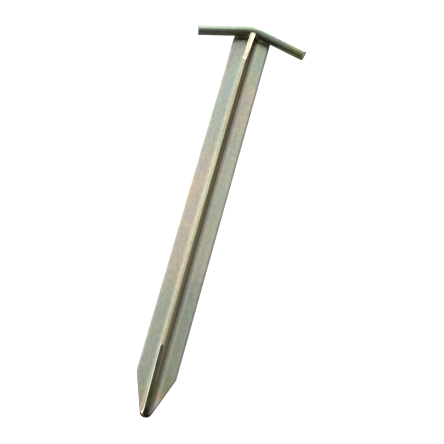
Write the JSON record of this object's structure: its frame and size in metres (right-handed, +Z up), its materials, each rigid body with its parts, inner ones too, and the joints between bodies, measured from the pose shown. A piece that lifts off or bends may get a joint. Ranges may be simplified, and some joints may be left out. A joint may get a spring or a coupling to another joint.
{
  "type": "tent stake",
  "caption": "Heavy-duty T-section ground stake with a sheared point and a bent round cross rod welded across its head to hold a guy line.",
  "frame": {"origin": "middle of the underside of the stake as it lies on the flat back of its flange", "axes": "+Y along the bar from the tip to the head, +Z up through the web, +X across the bar towards the right arm of the rod, seen with the web facing the viewer and the head up"},
  "size_m": [0.1052, 0.4, 0.035],
  "materials": {
    "plated_bar": "rolled steel, yellow zinc chromate plating",
    "plated_rod": "drawn round steel, yellow zinc chromate plating",
    "plated_weld": "rippled weld bead, yellow zinc chromate plating"
  },
  "bodies": {
    "root": {"tee_bar": "plated_bar", "cross_rod": "plated_rod", "under_rod_weld_left": "plated_weld", "under_rod_weld_right": "plated_weld", "crown_weld": "plated_weld", "web_weld_left": "plated_weld", "web_weld_right": "plated_weld"}
  },
  "joints": []
}
